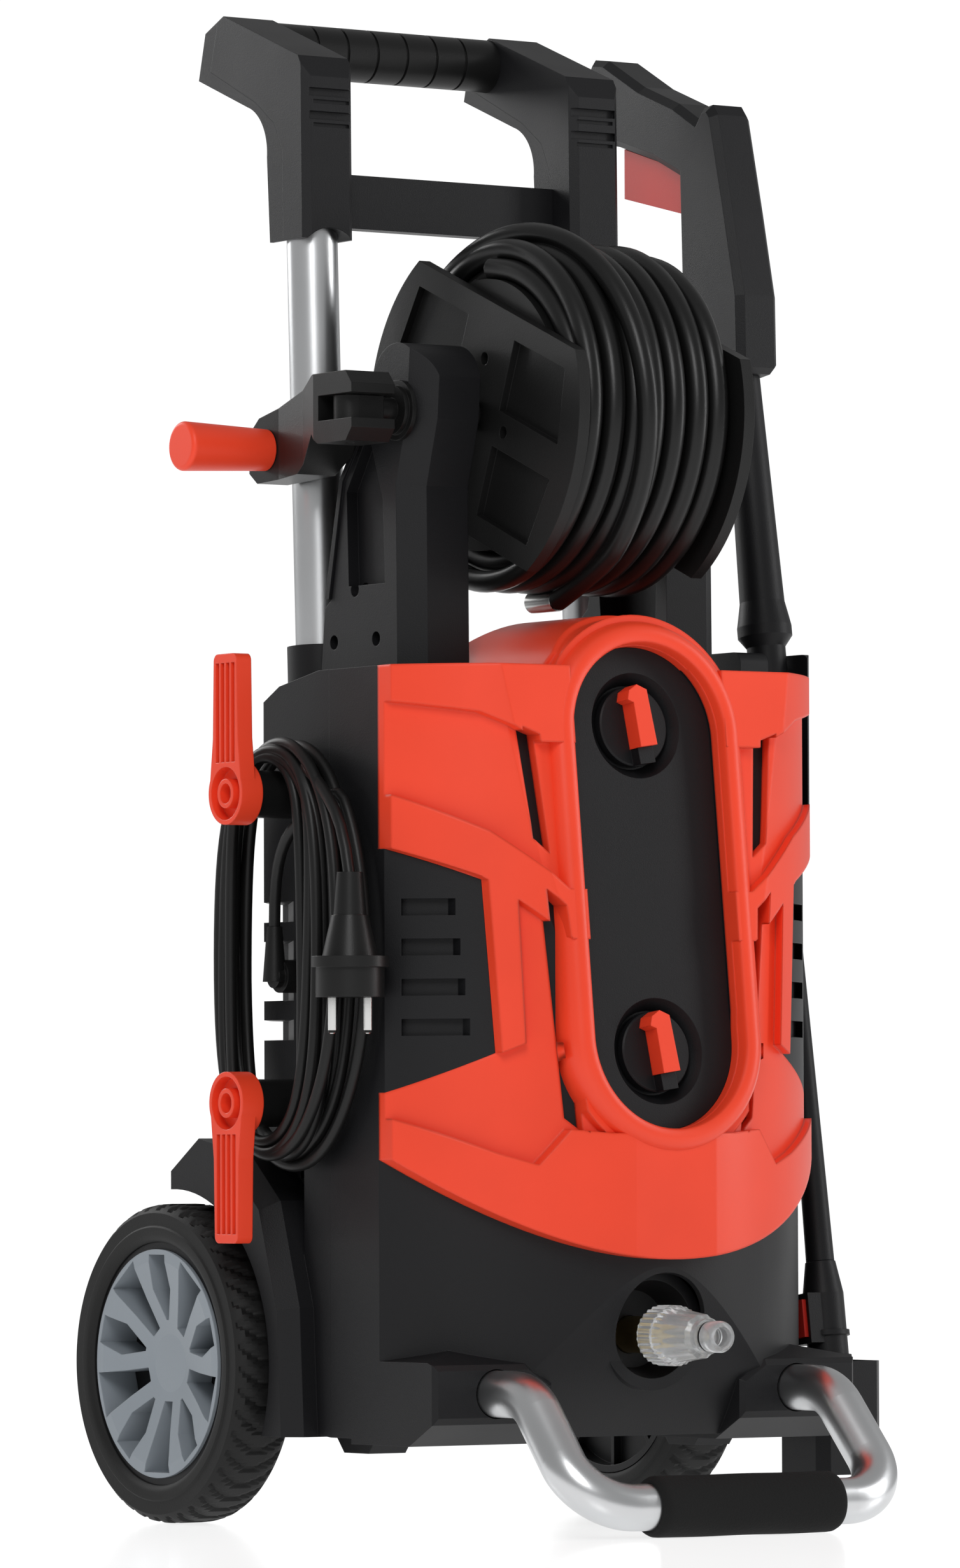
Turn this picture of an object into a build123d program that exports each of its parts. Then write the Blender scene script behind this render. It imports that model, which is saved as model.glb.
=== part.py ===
from build123d import *
import math
import os

# Upright electric pressure washer with a hose reel, a telescopic handle and a spray gun.
# Working frame while modelling, in millimetres: X = 0 is the machine's symmetry plane,
# Y = 0 is the wheel axle with the front towards -Y, and Z = 0 is the floor.
# The last section moves every piece so that the origin is the middle of the footprint.

# ---------------------------------------------------------------- driving dimensions
# Housing
HALF_WIDTH = 139.0
CORNER_Y = -178.0
BOW_Y = -241.0
SEAM_Y = -130.0
BASE_Z = 50.0
TOP_Z = 466.0
HOOD_TOP_Z = 496.0
WALL = 3.0
FASCIA_SKIN = 6.0
FASCIA_RIB = 13.0

# Control panel: a stadium on the leaning front face
LEAN = 6.5
PANEL_Z = 346.0
PANEL_Y = -226.5
PANEL_HALF_LENGTH = 132.0
PANEL_RADIUS = 49.0
KNOB_OFFSET = 89.0
KNOB_RADIUS = 22.0

# Wheels
WHEEL_RADIUS = 88.0
WHEEL_Z = 88.0
WHEEL_OUT = 171.0
WHEEL_IN = 131.0
RIM_RADIUS = 67.0
AXLE_RADIUS = 6.0
ARCH_RADIUS = 96.0

# Handle
TUBE_RADIUS = 14.2
TUBE_X = 90.0
HANDLE_LEAN = 2.1
HANDLE_REF_Y = -46.0
HANDLE_REF_Z = 510.0

# Reel
REEL_Y = -150.0
REEL_Z = 607.0
FLANGE_RADIUS = 103.0
FLANGE_IN = 51.0
FLANGE_OUT = 58.0
FLANGE_TILT = 22.0
COIL_RADIUS = 98.5
DRUM_RADIUS = 74.5
SPINDLE_RADIUS = 8.0

# Gun and lance
LANCE_X = 174.0
LANCE_LEAN = 8.0
LANCE_REF_Y = -155.0
LANCE_REF_Z = 112.0
TRIGGER_Y = -46.0
TRIGGER_Z = 752.0
TRIGGER_HALF = 6.0

# Front leg and water inlet
LEG_BEND = 31.0
INLET_Z = 105.0
INLET_TIP_RADIUS = 8.5

# Cord
CORD_DIAMETER = 6.4

PANEL = Plane(
    origin=(0, PANEL_Y, PANEL_Z),
    x_dir=(1, 0, 0),
    z_dir=(0, -math.cos(math.radians(LEAN)), math.sin(math.radians(LEAN))),
)


# ---------------------------------------------------------------- small helpers
def prism_x(points, x0, x1):
    """Extrude a (Y, Z) outline from x0 to x1."""
    return extrude(Plane.YZ.offset(x0) * Polygon(*points, align=None), amount=x1 - x0, dir=(1, 0, 0))


def prism_y(points, y0, y1):
    """Extrude an (X, Z) outline from y0 to y1."""
    return extrude(Plane.XZ.offset(-y1) * Polygon(*points, align=None), amount=y1 - y0, dir=(0, -1, 0))


def prism_z(points, z0, z1):
    """Extrude an (X, Y) outline from z0 to z1."""
    return extrude(Pos(0, 0, z0) * Polygon(*points, align=None), amount=z1 - z0, dir=(0, 0, 1))


def rod_x(radius, x0, x1, y, z):
    return Pos((x0 + x1) / 2, y, z) * Rot(0, 90, 0) * Cylinder(radius, x1 - x0)


def rod_y(radius, y0, y1, x, z):
    return Pos(x, (y0 + y1) / 2, z) * Rot(90, 0, 0) * Cylinder(radius, y1 - y0)


def rod_z(radius, z0, z1, x, y):
    return Pos(x, y, (z0 + z1) / 2) * Cylinder(radius, z1 - z0)


def block(x0, x1, y0, y1, z0, z1):
    return Pos((x0 + x1) / 2, (y0 + y1) / 2, (z0 + z1) / 2) * Box(x1 - x0, y1 - y0, z1 - z0)


def mirrored(shape):
    return mirror(shape, about=Plane.YZ)


def both_sides(shape):
    return shape + mirrored(shape)


def handle_y(z):
    """Y of the handle tubes' centre line at height z."""
    return HANDLE_REF_Y + (z - HANDLE_REF_Z) * math.tan(math.radians(HANDLE_LEAN))


def lance_y(z):
    """Y of the lance's centre line at height z."""
    return LANCE_REF_Y + (z - LANCE_REF_Z) * math.tan(math.radians(LANCE_LEAN))


HANDLE_FRAME = Pos(0, HANDLE_REF_Y, HANDLE_REF_Z) * Rot(-HANDLE_LEAN, 0, 0)
LANCE_FRAME = Pos(LANCE_X, LANCE_REF_Y, LANCE_REF_Z) * Rot(-LANCE_LEAN, 0, 0)
REEL_FRAME = Pos(0, REEL_Y, REEL_Z) * Rot(FLANGE_TILT, 0, 0)


# ---------------------------------------------------------------- housing
def front_block(grow, back_y=SEAM_Y, half=HALF_WIDTH, bottom=BASE_Z, top=TOP_Z):
    """The bowed, leaning front volume, grown forwards by a distance."""
    corner = CORNER_Y - grow
    bow = ThreePointArc((-half, corner), (0, BOW_Y - 6 - grow), (half, corner))
    rim = Polyline((half, corner), (half, back_y), (-half, back_y), (-half, corner))
    volume = extrude(Pos(0, 0, bottom) * make_face(bow + rim), amount=top - bottom, dir=(0, 0, 1))
    lean = math.tan(math.radians(LEAN))
    face_low = PANEL_Y - 6 - grow - (PANEL_Z - 215) * lean
    face_top = PANEL_Y - 6 - grow + (TOP_Z + 60 - PANEL_Z) * lean
    chin = ThreePointArc((-208 - grow, bottom - 1), (-237 - grow, 104), (face_low, 215))
    back = Polyline(
        (face_low, 215),
        (face_top, TOP_Z + 60),
        (back_y, TOP_Z + 60),
        (back_y, bottom - 1),
        (-208 - grow, bottom - 1),
    )
    side = Plane.YZ.offset(-half - 1) * make_face(chin + back)
    return volume & extrude(side, amount=2 * half + 2, dir=(1, 0, 0))


def stadium(radius_change, low, high):
    """Stadium prism on the control panel, between two depths along its normal."""
    straight = PANEL_HALF_LENGTH - PANEL_RADIUS
    radius = PANEL_RADIUS + radius_change
    outline = Rectangle(2 * radius, 2 * straight)
    outline += Pos(0, straight) * Circle(radius)
    outline += Pos(0, -straight) * Circle(radius)
    return extrude(PANEL * Pos(0, 0, low) * outline, amount=high - low, dir=PANEL.z_dir)


LEG_BOSS = [(-139, 47), (-139, 92), (-112, 98), (-84, 94), (-62, 80), (-62, 47)]


def leg_bosses():
    """Faceted sockets at the foot of the front face, one for each leg end."""
    shape = prism_y(LEG_BOSS, -231, -150)
    shape &= prism_x([(-150, 40), (-206, 47), (-231, 60), (-231, 90), (-205, 98), (-150, 100)], -140, -60)
    return both_sides(chamfer(shape.edges().group_by(Axis.Y)[0], 2.5))


def front_shell():
    shape = front_block(0) + leg_bosses()
    patch = [(-139, 236), (-95, 257), (-101, 350), (-139, 367)]
    shape += both_sides((front_block(FASCIA_SKIN) - front_block(0)) & prism_y(patch, -260, -150))
    for level in range(4):
        z = 271 + 21.5 * level
        vent = block(-160, -106 - 2 * level, -260, -150, z - 4.5, z + 4.5)
        slot = (front_block(FASCIA_SKIN) - front_block(-1)) & vent
        shape -= both_sides(slot & block(-133, 0, -260, -150, 0, 500))
    shape -= front_block(-WALL, back_y=SEAM_Y + 1, half=HALF_WIDTH - WALL, bottom=BASE_Z + WALL,
                         top=TOP_Z - WALL)
    shape -= stadium(0.1, -20, 30)
    # Conical well round the water inlet
    shape += rod_y(33, -232, -205, 2, INLET_Z + 3)
    shape -= Pos(2, -230, INLET_Z + 3) * Rot(90, 0, 0) * Cone(21, 31, 34)
    shape -= rod_y(10.3, -245, -200, 0, INLET_Z)
    for side in (-1, 1):
        shape -= rod_y(13.2, -240, -172, 99 * side, 75)
    return shape.solids().sort_by(SortBy.VOLUME)[-1]


def fascia_outline():
    """Front view of the orange cover: stepped round the vent patch, curved along its chin."""
    arc = ThreePointArc((-139, 200), (0, 146), (139, 200))
    right = Polyline((139, 200), (139, 236), (95, 257), (101, 350), (139, 367), (139, TOP_Z))
    left = Polyline((-139, TOP_Z), (-139, 367), (-101, 350), (-95, 257), (-139, 236), (-139, 200))
    top = Polyline((139, TOP_Z), (-139, TOP_Z))
    return extrude(Plane.XZ.offset(150) * make_face(arc + right + top + left), amount=120, dir=(0, -1, 0))


RIB_OUTLINES = [
    [(-139, 466), (-139, 446), (-104, 440), (-72, 424), (-50, 424), (-50, 466)],
    [(-139, 396), (-139, 367), (-104, 352), (-60, 318), (-46, 318), (-46, 345), (-60, 345), (-100, 376)],
    [(-101, 352), (-95, 257), (-84, 262), (-88, 352)],
    [(-139, 222), (-96, 203), (-78, 197), (-62, 216), (-40, 214), (0, 214), (0, 140), (-139, 140)],
]
SLOT_OUTLINES = [
    [(-84, 432), (-77, 372), (-67, 364), (-73, 428)],
    [(-74, 345), (-62, 222), (-52, 214), (-63, 336)],
]


def front_fascia():
    skin = front_block(FASCIA_SKIN) - front_block(0)
    thick = front_block(FASCIA_RIB) - front_block(0)
    shape = skin & fascia_outline()
    for outline in RIB_OUTLINES:
        face = Plane.XZ.offset(178) * Polygon(*outline, align=None)
        rib = thick & extrude(face, amount=80, dir=(0, -1, 0)) & fascia_outline()
        shape += both_sides(rib)
    # Raised rim round the panel, carried back over the top as a hood
    rim = stadium(17, -26, 11) & prism_y([(-139, 190), (139, 190), (139, 520), (-139, 520)], -290, -150)
    rim -= front_block(0) & block(-140, 140, -300, -100, 0, TOP_Z)
    hood_arc = ThreePointArc((-66, TOP_Z - 12), (0, HOOD_TOP_Z), (66, TOP_Z - 12))
    hood_face = make_face(hood_arc + Line((66, TOP_Z - 12), (-66, TOP_Z - 12)))
    hood = extrude(Plane.XZ.offset(118) * hood_face, amount=100, dir=(0, -1, 0))
    hood_side = [(-118, TOP_Z), (-118, 484), (-128, HOOD_TOP_Z), (-200, HOOD_TOP_Z), (-224, TOP_Z)]
    hood &= prism_x(hood_side, -70, 70)
    hood -= Pos(0, 3, -4) * hood & block(-60, 60, -206, -122, TOP_Z, HOOD_TOP_Z)
    shape += rim + hood
    shape -= front_block(0)
    shape -= stadium(0.1, -40, 30)
    for outline in SLOT_OUTLINES:
        shape -= both_sides(prism_y(outline, -290, -150))
    return shape.solids().sort_by(SortBy.VOLUME)[-1]


def control_panel():
    shape = stadium(0, -12, 5)
    hollow = stadium(-4, -13, -1)
    for side in (-1, 1):
        hollow -= PANEL * Pos(0, side * KNOB_OFFSET, 0) * Cylinder(33, 40)
    shape -= hollow
    for side in (-1, 1):
        well = PANEL * Pos(0, side * KNOB_OFFSET, 0.5) * Cone(KNOB_RADIUS + 1, 29, 9)
        shape -= well
        shape -= PANEL * Pos(0, side * KNOB_OFFSET, -8) * Cylinder(6.05, 20)
    return shape


def knob(side):
    seat = PANEL * Pos(0, side * KNOB_OFFSET, 0)
    disc = seat * Pos(0, 0, 0.2) * Cylinder(KNOB_RADIUS, 6)
    disc = chamfer(disc.edges().group_by(SortBy.LENGTH)[-1], 0.8)
    disc += seat * Pos(0, 0, -8) * Cylinder(6, 14)
    tip = seat * Rot(0, 0, 8) * Pos(0, -17, 6.7) * Box(10, 9, 7)
    return disc + tip


def knob_pointer(side):
    """Angular lever on the knob's face."""
    seat = PANEL * Pos(0, side * KNOB_OFFSET, 3.2) * Rot(0, 0, 8)
    points = [(-5.5, -12.4), (5.5, -12.4), (5.0, 18), (-1, 21.5), (-6.5, 19), (-8.5, 14), (-5, 12)]
    return extrude(seat * Polygon(*points, align=None), amount=11, dir=PANEL.z_dir)


def fender(side):
    """Mudguard over the front upper quarter of a wheel."""
    outline = Polyline((4, 194), (-25, 212), (-62, 205), (-94, 178), (-113, 120), (-117, BASE_Z))
    closing = Polyline((-117, BASE_Z), (4, BASE_Z), (4, 194))
    face = Plane.YZ.offset(118) * make_face(outline + closing)
    shape = extrude(face, amount=39, dir=(1, 0, 0))
    shape = chamfer(shape.edges().group_by(Axis.X)[-1].filter_by(lambda e: e.center().Y < -60), 9)
    shape -= rod_x(ARCH_RADIUS, 128, 170, 0, WHEEL_Z)
    return shape if side > 0 else mirrored(shape)


REAR_PLAN = [(-139, SEAM_Y), (-139, -64), (-116, -36), (-100, -26), (100, -26), (116, -36), (139, -64),
             (139, SEAM_Y)]
REAR_TOP = [(SEAM_Y, TOP_Z), (-120, TOP_Z), (-80, 459), (-50, 444), (-20, 440)]
LOW_PLAN = [(-139, SEAM_Y), (-139, -104), (-126, -92), (-126, 20), (126, 20), (126, -92), (139, -104),
            (139, SEAM_Y)]
LOW_SIDE = [(SEAM_Y, BASE_Z), (20, BASE_Z + 14), (20, 150), (-26, 212), (-26, 230), (SEAM_Y, 230)]
LOW_CAVITY = [(SEAM_Y - 1, BASE_Z + WALL), (17, BASE_Z + 17), (17, 148), (-27, 209), (SEAM_Y - 1, 209)]
REAR_CAVITY = [(-136, SEAM_Y - 1), (-136, -98), (-110, -52), (-68, -52), (-68, -29), (68, -29), (68, -52),
               (110, -52), (136, -98), (136, SEAM_Y - 1)]


def rear_shell():
    shape = prism_z(REAR_PLAN, 200, 470)
    shape &= prism_x(REAR_TOP + [(-20, 190), (SEAM_Y, 190)], -140, 140)
    low = prism_z(LOW_PLAN, BASE_Z, 230)
    low &= prism_x(LOW_SIDE, -140, 140)
    shape += low
    shape += fender(1) + fender(-1)
    cavity = prism_z(REAR_CAVITY, 190, 437)
    cavity += prism_x(LOW_CAVITY, -123, 123)
    shape -= cavity
    shape -= rod_x(AXLE_RADIUS, -140, 140, 0, WHEEL_Z)
    # Handle tube channels
    for side in (-1, 1):
        frame = Pos(side * TUBE_X, 0, 0) * HANDLE_FRAME
        channel = frame * Pos(0, 0, -160) * Cylinder(17.5, 400)
        shape += channel & block(-140, 140, -130, 40, 192, 435)
        shape -= frame * Pos(0, 0, -160) * Cylinder(TUBE_RADIUS + 0.3, 460)
    # Cooling slots through the rear corners
    corner = [(-150, -94), (-139, -94), (-104, -34), (-104, -10), (-150, -10)]
    for level in range(4):
        z = 271 + 21.5 * level
        shape -= both_sides(prism_z(corner, z - 5.5, z + 5.5))
    return shape.solids().sort_by(SortBy.VOLUME)[-1]


def under_feet():
    profile = [(-146, BASE_Z), (-138, 41), (-114, 41), (-106, BASE_Z)]
    return [prism_x(profile, side * 108 - 12, side * 108 + 12) for side in (-1, 1)]


def hook_posts():
    """Two round posts on the left side that carry the cord."""
    posts = []
    for z in (399, 231):
        post = rod_x(13, -169.5, -HALF_WIDTH, -95, z) - rod_x(4.05, -170, -150, -95, z)
        posts.append(post)
    return posts


# ---------------------------------------------------------------- front leg
def leg_tube():
    """U-shaped tube: out of both sockets, down to the floor and across."""
    half = [(99, -176, 75), (99, -262, 75), (101, -316, 16.5), (0, -316, 16.5)]
    points = half + [(-x, y, z) for x, y, z in reversed(half[:-1])]
    points.pop(len(half) - 1)
    path = FilletPolyline(*points, radius=LEG_BEND)
    section = Plane(path @ 0, z_dir=path % 0) * Circle(12.5)
    tube = sweep(section, path=path)
    bore = sweep(Plane(path @ 0, z_dir=path % 0) * Circle(10.9), path=path)
    return tube - bore


def foam_grip():
    sleeve = rod_x(16.5, -60, 60, -316, 16.5)
    sleeve = fillet(sleeve.edges().filter_by(GeomType.CIRCLE), 5)
    return sleeve - rod_x(12.5, -61, 61, -316, 16.5)


# ---------------------------------------------------------------- wheels
def wheel_core():
    """Black wheel body: barrel, ribbed web and hub, with the hub's open side towards the machine."""
    barrel = rod_x(RIM_RADIUS, WHEEL_IN + 2, WHEEL_OUT - 4, 0, 0) - rod_x(63, WHEEL_IN, WHEEL_OUT, 0, 0)
    web = rod_x(64, WHEEL_OUT - 29, WHEEL_OUT - 26, 0, 0)
    hub = rod_x(20, WHEEL_IN + 1, WHEEL_OUT - 26, 0, 0)
    shape = barrel + web + hub
    for index in range(10):
        rib = block(WHEEL_IN + 6, WHEEL_OUT - 28, -1.5, 1.5, 18, 64)
        shape += Rot(36 * index, 0, 0) * rib
    return Pos(0, 0, WHEEL_Z) * (shape - rod_x(AXLE_RADIUS + 0.05, WHEEL_IN - 5, WHEEL_OUT, 0, 0))


WISHBONE_WINDOW = [(24, -1), (41, -9), (60, -8), (60, 8), (41, 9), (24, 1)]
GAP_WINDOW = [(21, -4), (38, -7.5), (60, -13), (60, 13), (38, 7.5), (21, 4)]


def wheel_cover():
    """Grey dished cover with five pairs of kinked spokes; outer face towards +X."""
    shape = rod_x(63, WHEEL_OUT - 25.9, WHEEL_OUT - 2, 0, 0)
    dish = Pos(WHEEL_OUT - 6, 0, 0) * Rot(0, 90, 0) * Cone(16, 61, 10)
    shape -= dish
    for index in range(5):
        for turn, outline in ((90 + 72 * index, WISHBONE_WINDOW), (126 + 72 * index, GAP_WINDOW)):
            window = Plane.YZ.offset(WHEEL_OUT - 30) * Rot(0, 0, turn) * Polygon(*outline, align=None)
            shape -= extrude(window, amount=40, dir=(1, 0, 0))
    return Pos(0, 0, WHEEL_Z) * (shape - rod_x(AXLE_RADIUS + 0.3, WHEEL_OUT - 40, WHEEL_OUT - 14, 0, 0))


def tyre():
    profile = [
        (RIM_RADIUS, WHEEL_IN + 3), (RIM_RADIUS, WHEEL_OUT - 3), (RIM_RADIUS + 7, WHEEL_OUT),
        (WHEEL_RADIUS - 7, WHEEL_OUT - 1), (WHEEL_RADIUS - 1, WHEEL_OUT - 8), (WHEEL_RADIUS, WHEEL_OUT - 14),
        (WHEEL_RADIUS, WHEEL_IN + 14), (WHEEL_RADIUS - 1, WHEEL_IN + 8), (WHEEL_RADIUS - 7, WHEEL_IN + 1),
        (RIM_RADIUS + 7, WHEEL_IN),
    ]
    face = Plane.XZ * Polygon(*[(x, r) for r, x in profile], align=None)
    return Pos(0, 0, WHEEL_Z) * revolve(face, axis=Axis.X)


def wheel_axle():
    return rod_x(AXLE_RADIUS, -WHEEL_OUT + 16, WHEEL_OUT - 16, 0, WHEEL_Z)


# ---------------------------------------------------------------- handle
HEAD_IN = 73.5
HEAD_OUT = 106.5
HEAD_OUTER = [(-58, 710), (-57, 800), (-50, 812), (27, 842), (46, 834), (53, 808)]
HEAD_SEAM = [(-34.5, 700), (-33.5, 760), (-26, 776), (-6, 790), (41, 812), (34, 836), (36, 860)]


def head_blank():
    """Cranked handle head: a sleeve over the tube with a nose reaching back."""
    outline = Polyline(*HEAD_OUTER, (2, 788))
    elbow = ThreePointArc((2, 788), (-13, 777), (-18, 758))
    closing = Polyline((-18, 758), (-21, 710), (-58, 710))
    face = Plane.YZ.offset(HEAD_IN) * make_face(outline + elbow + closing)
    return extrude(face, amount=HEAD_OUT - HEAD_IN, dir=(1, 0, 0))


def handle_head(side, front):
    blank = head_blank()
    blank = chamfer(blank.edges().filter_by(Axis.Z, tolerance=3).group_by(Axis.Y)[0], 4)
    divider = [(-120, 700)] + HEAD_SEAM + [(-120, 860)]
    if front:
        half = blank & prism_x(divider, 70, 110)
        for z in (789, 776):
            half -= block(74, 103, -70, -54, z, z + 4.5) + block(77, 101, -70, -55.6, z - 4, z - 2)
    else:
        half = blank - prism_x(divider, 70, 110)
    bore = Pos(TUBE_X, 0, 0) * HANDLE_FRAME * Pos(0, 0, 230) * Cylinder(TUBE_RADIUS, 90)
    half -= bore
    half -= rod_y(20, -80, 0, TUBE_X, 696)
    half -= rod_x(15, 60, 98, 30, 826)
    piece = half.solids().sort_by(SortBy.VOLUME)[-1]
    return piece if side > 0 else mirrored(piece)


def handle_tube(side):
    frame = Pos(side * TUBE_X, 0, 0) * HANDLE_FRAME
    outer = frame * Pos(0, 0, 75) * Cylinder(TUBE_RADIUS, 390)
    return outer - frame * Pos(0, 0, 74) * Cylinder(TUBE_RADIUS - 1.5, 390)


def handle_grip_bar():
    bar = rod_x(15, -98, 98, 30, 826)
    for index in range(6):
        x = -50 + 20 * index
        bar -= rod_x(16, x - 0.8, x + 0.8, 30, 826) - rod_x(13.8, x - 2, x + 2, 30, 826)
    return bar


def handle_crossbar():
    return block(-HEAD_IN, HEAD_IN, -37, -26, 719, 749)


def tube_collars():
    collars = []
    for side in (-1, 1):
        frame = Pos(side * TUBE_X, 0, 0) * HANDLE_FRAME
        collar = frame * Pos(0, 0, -50) * Cylinder(19, 48)
        collar -= frame * Pos(0, 0, -50) * Cylinder(TUBE_RADIUS + 0.3, 80)
        collars.append(collar - rear_top_volume())
    return collars


def rear_top_volume():
    """Space under the sloping top of the rear shell."""
    return prism_x(REAR_TOP + [(40, 440), (40, 300), (SEAM_Y, 300)], -140, 140)


# ---------------------------------------------------------------- hose reel
ARM_HOLES = [(-83, 484), (-125, 484), (-104, 512)]
ARM_HOLE_RADIUS = 4.0


def reel_arm(side):
    """Bracket that carries one end of the reel's spindle."""
    profile = Polyline((-69, 455), (-74, 503), (-81, 508), (-94, 573), (-122, 614))
    crown = ThreePointArc((-122, 614), (-142, 644), (-170, 625))
    low = [(-158, TOP_Z), (-120, TOP_Z), (-80, 459), (-69, 455)]
    front = Polyline((-170, 625), (-168, 602), (-157, 566), *low)
    shape = extrude(Plane.YZ.offset(66) * make_face(profile + crown + front), amount=39, dir=(1, 0, 0))
    shape = chamfer(shape.edges().group_by(Axis.X)[-1].filter_by(lambda e: e.center().Y < -150), 12)
    shape -= prism_x([(-98, 514), (-96, 566), (-118, 598), (-132, 560), (-134, 514)], 98, 110)
    shape += prism_x([(-80, 508), (-76, 508), (-91, 573), (-120, 611), (-121, 606), (-94, 572)], 100, 106.5)
    shape -= prism_x([(-96, 480), (-88, 560), (-120, 590), (-150, 570), (-146, 480)], 60, 80)
    shape -= rod_x(SPINDLE_RADIUS + 0.05, 60, 120, REEL_Y, REEL_Z)
    for y, z in ARM_HOLES:
        shape -= rod_x(ARM_HOLE_RADIUS, 92, 120, y, z)
    return shape if side > 0 else mirrored(shape)


def arm_screws():
    right = [rod_x(ARM_HOLE_RADIUS, 92, 95, y, z) for y, z in ARM_HOLES]
    return right + [mirrored(screw) for screw in right]


def flange(side):
    """Disc cut by two parallel chords, with four pockets and four holes round the hub."""
    chord = 63.0
    face = Circle(FLANGE_RADIUS) & Rectangle(2 * FLANGE_RADIUS, 2 * chord)
    blank = extrude(Plane.YZ.offset(FLANGE_IN) * face, amount=FLANGE_OUT - FLANGE_IN, dir=(1, 0, 0))
    pocket = [(24, 10), (84, 10), (76, 50), (24, 50)]
    for sy in (-1, 1):
        for sz in (-1, 1):
            outline = Polygon(*[(sy * y, sz * z) for y, z in pocket], align=None)
            cut = extrude(Plane.YZ.offset(FLANGE_OUT - 4.5) * outline, amount=6, dir=(1, 0, 0))
            blank -= cut
    for angle in (0, 90, 180, 270):
        y = 32 * math.cos(math.radians(angle))
        z = 32 * math.sin(math.radians(angle))
        blank -= rod_x(3.5, FLANGE_IN - 1, FLANGE_OUT + 1, y, z)
    blank -= rod_x(SPINDLE_RADIUS, 40, 70, 0, 0)
    shape = REEL_FRAME * blank
    return shape if side > 0 else mirrored(shape)


def reel_drum():
    """Hollow drum with end walls that sit on the spindle."""
    drum = rod_x(DRUM_RADIUS, -FLANGE_IN, FLANGE_IN, REEL_Y, REEL_Z)
    drum -= rod_x(DRUM_RADIUS - 3, -FLANGE_IN + 3, FLANGE_IN - 3, REEL_Y, REEL_Z)
    return drum - rod_x(SPINDLE_RADIUS, -60, 60, REEL_Y, REEL_Z)


def reel_spindle():
    """Shaft through both arms, stepped at the crank end, with a flat tongue for the crank."""
    shaft = rod_x(SPINDLE_RADIUS, -106, 100, REEL_Y, REEL_Z)
    shaft += rod_x(16.5, -108, -105.4, REEL_Y, REEL_Z)
    shaft += rod_x(13.5, -111, -107, REEL_Y, REEL_Z)
    shaft += rod_x(6.5, -130, -110, REEL_Y, REEL_Z)
    shaft += block(PIN_X, -122, REEL_Y - 9, REEL_Y + 9, REEL_Z - 6.5, REEL_Z + 6.5)
    shaft += rod_z(9, REEL_Z - 6.5, REEL_Z + 6.5, PIN_X, REEL_Y)
    return shaft - rod_z(2.55, REEL_Z - 20, REEL_Z + 20, PIN_X, REEL_Y)


PIN_X = -138.0
GRIP_DY = 97.0
GRIP_DZ = -16.0


def crank_arm():
    """Fork round the spindle's tongue and a cranked arm that ends at the grip."""
    outline = [(-14, -19), (14, -19), (24, -13), (58, -32), (106, -34), (114, -28), (114, -6), (104, 2),
               (56, 12), (22, 19), (-14, 19), (-20, 12), (-20, -12)]
    inner = [(-150, -22), (-122, -22), (-122, 15), (-110, 40), (-110, 120)]
    plan = inner + [(-130, 120), (-130, 84), (-136, 50), (-150, 18)]
    arm = prism_x(outline, -150, -108) & prism_z(plan, -50, 50)
    arm -= block(-160, -100, -30, 13, -6.9, 6.9)
    arm = Pos(0, REEL_Y, REEL_Z) * arm
    arm -= rod_z(2.5, REEL_Z - 40, REEL_Z + 40, PIN_X, REEL_Y)
    return arm - rod_x(4.05, -150, -113, REEL_Y + GRIP_DY, REEL_Z + GRIP_DZ)


def crank_pin():
    return rod_z(2.5, REEL_Z - 18.5, REEL_Z + 18.5, PIN_X, REEL_Y)


def crank_grip():
    """Tapered handle that turns on a stub axle."""
    y = REEL_Y + GRIP_DY
    z = REEL_Z + GRIP_DZ
    handle = Pos(-157.9, y, z) * Rot(0, 90, 0) * Cone(13.75, 11.5, 55)
    handle = fillet(handle.edges().group_by(Axis.X)[0], 2.5)
    return handle + rod_x(4, -128, -114, y, z)


def hose_fitting():
    """Ferrule at the free end of the hose, lying along the bottom of the coil."""
    return rod_y(6, REEL_Y - 12, REEL_Y + 12, -10, 506)


def reel_coil():
    """Outer shape of the wound hose."""
    coil = rod_x(COIL_RADIUS, -FLANGE_IN + 0.3, FLANGE_IN - 0.3, REEL_Y, REEL_Z)
    coil = fillet(coil.edges().filter_by(GeomType.CIRCLE), 5)
    return coil - rod_x(DRUM_RADIUS, -70, 70, REEL_Y, REEL_Z)


# ---------------------------------------------------------------- cord hooks
def cord_hook(z, up):
    """Flat swivelling hook with grooves along its arm and rings round its pivot."""
    turn = 1 if up else -1
    arm = Polygon((-16, 2), (-12.5, 30), (-11.5, 76), (11.5, 76), (12.5, 30), (16, 2), align=None)
    arm = fillet(arm.vertices().group_by(Axis.Y)[-1], 4)
    hook = extrude(Plane.YZ.offset(-183.5) * (arm + Circle(17)), amount=9.5, dir=(1, 0, 0))
    hook += rod_x(17, -183.5, -170, 0, 0)
    for y in (-7.8, -2.6, 2.6, 7.8):
        hook -= block(-184, -177.5, y - 1.7, y + 1.7, 17, 71)
    hook -= rod_x(14.4, -184, -177, 0, 0) - rod_x(8, -184, -177, 0, 0)
    hook -= rod_x(5.5, -184, -177, 0, 0)
    hook += rod_x(4, -171, -152, 0, 0)
    placed = Pos(0, -95, z) * (hook if turn > 0 else mirror(hook, about=Plane.XY))
    return placed


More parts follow.
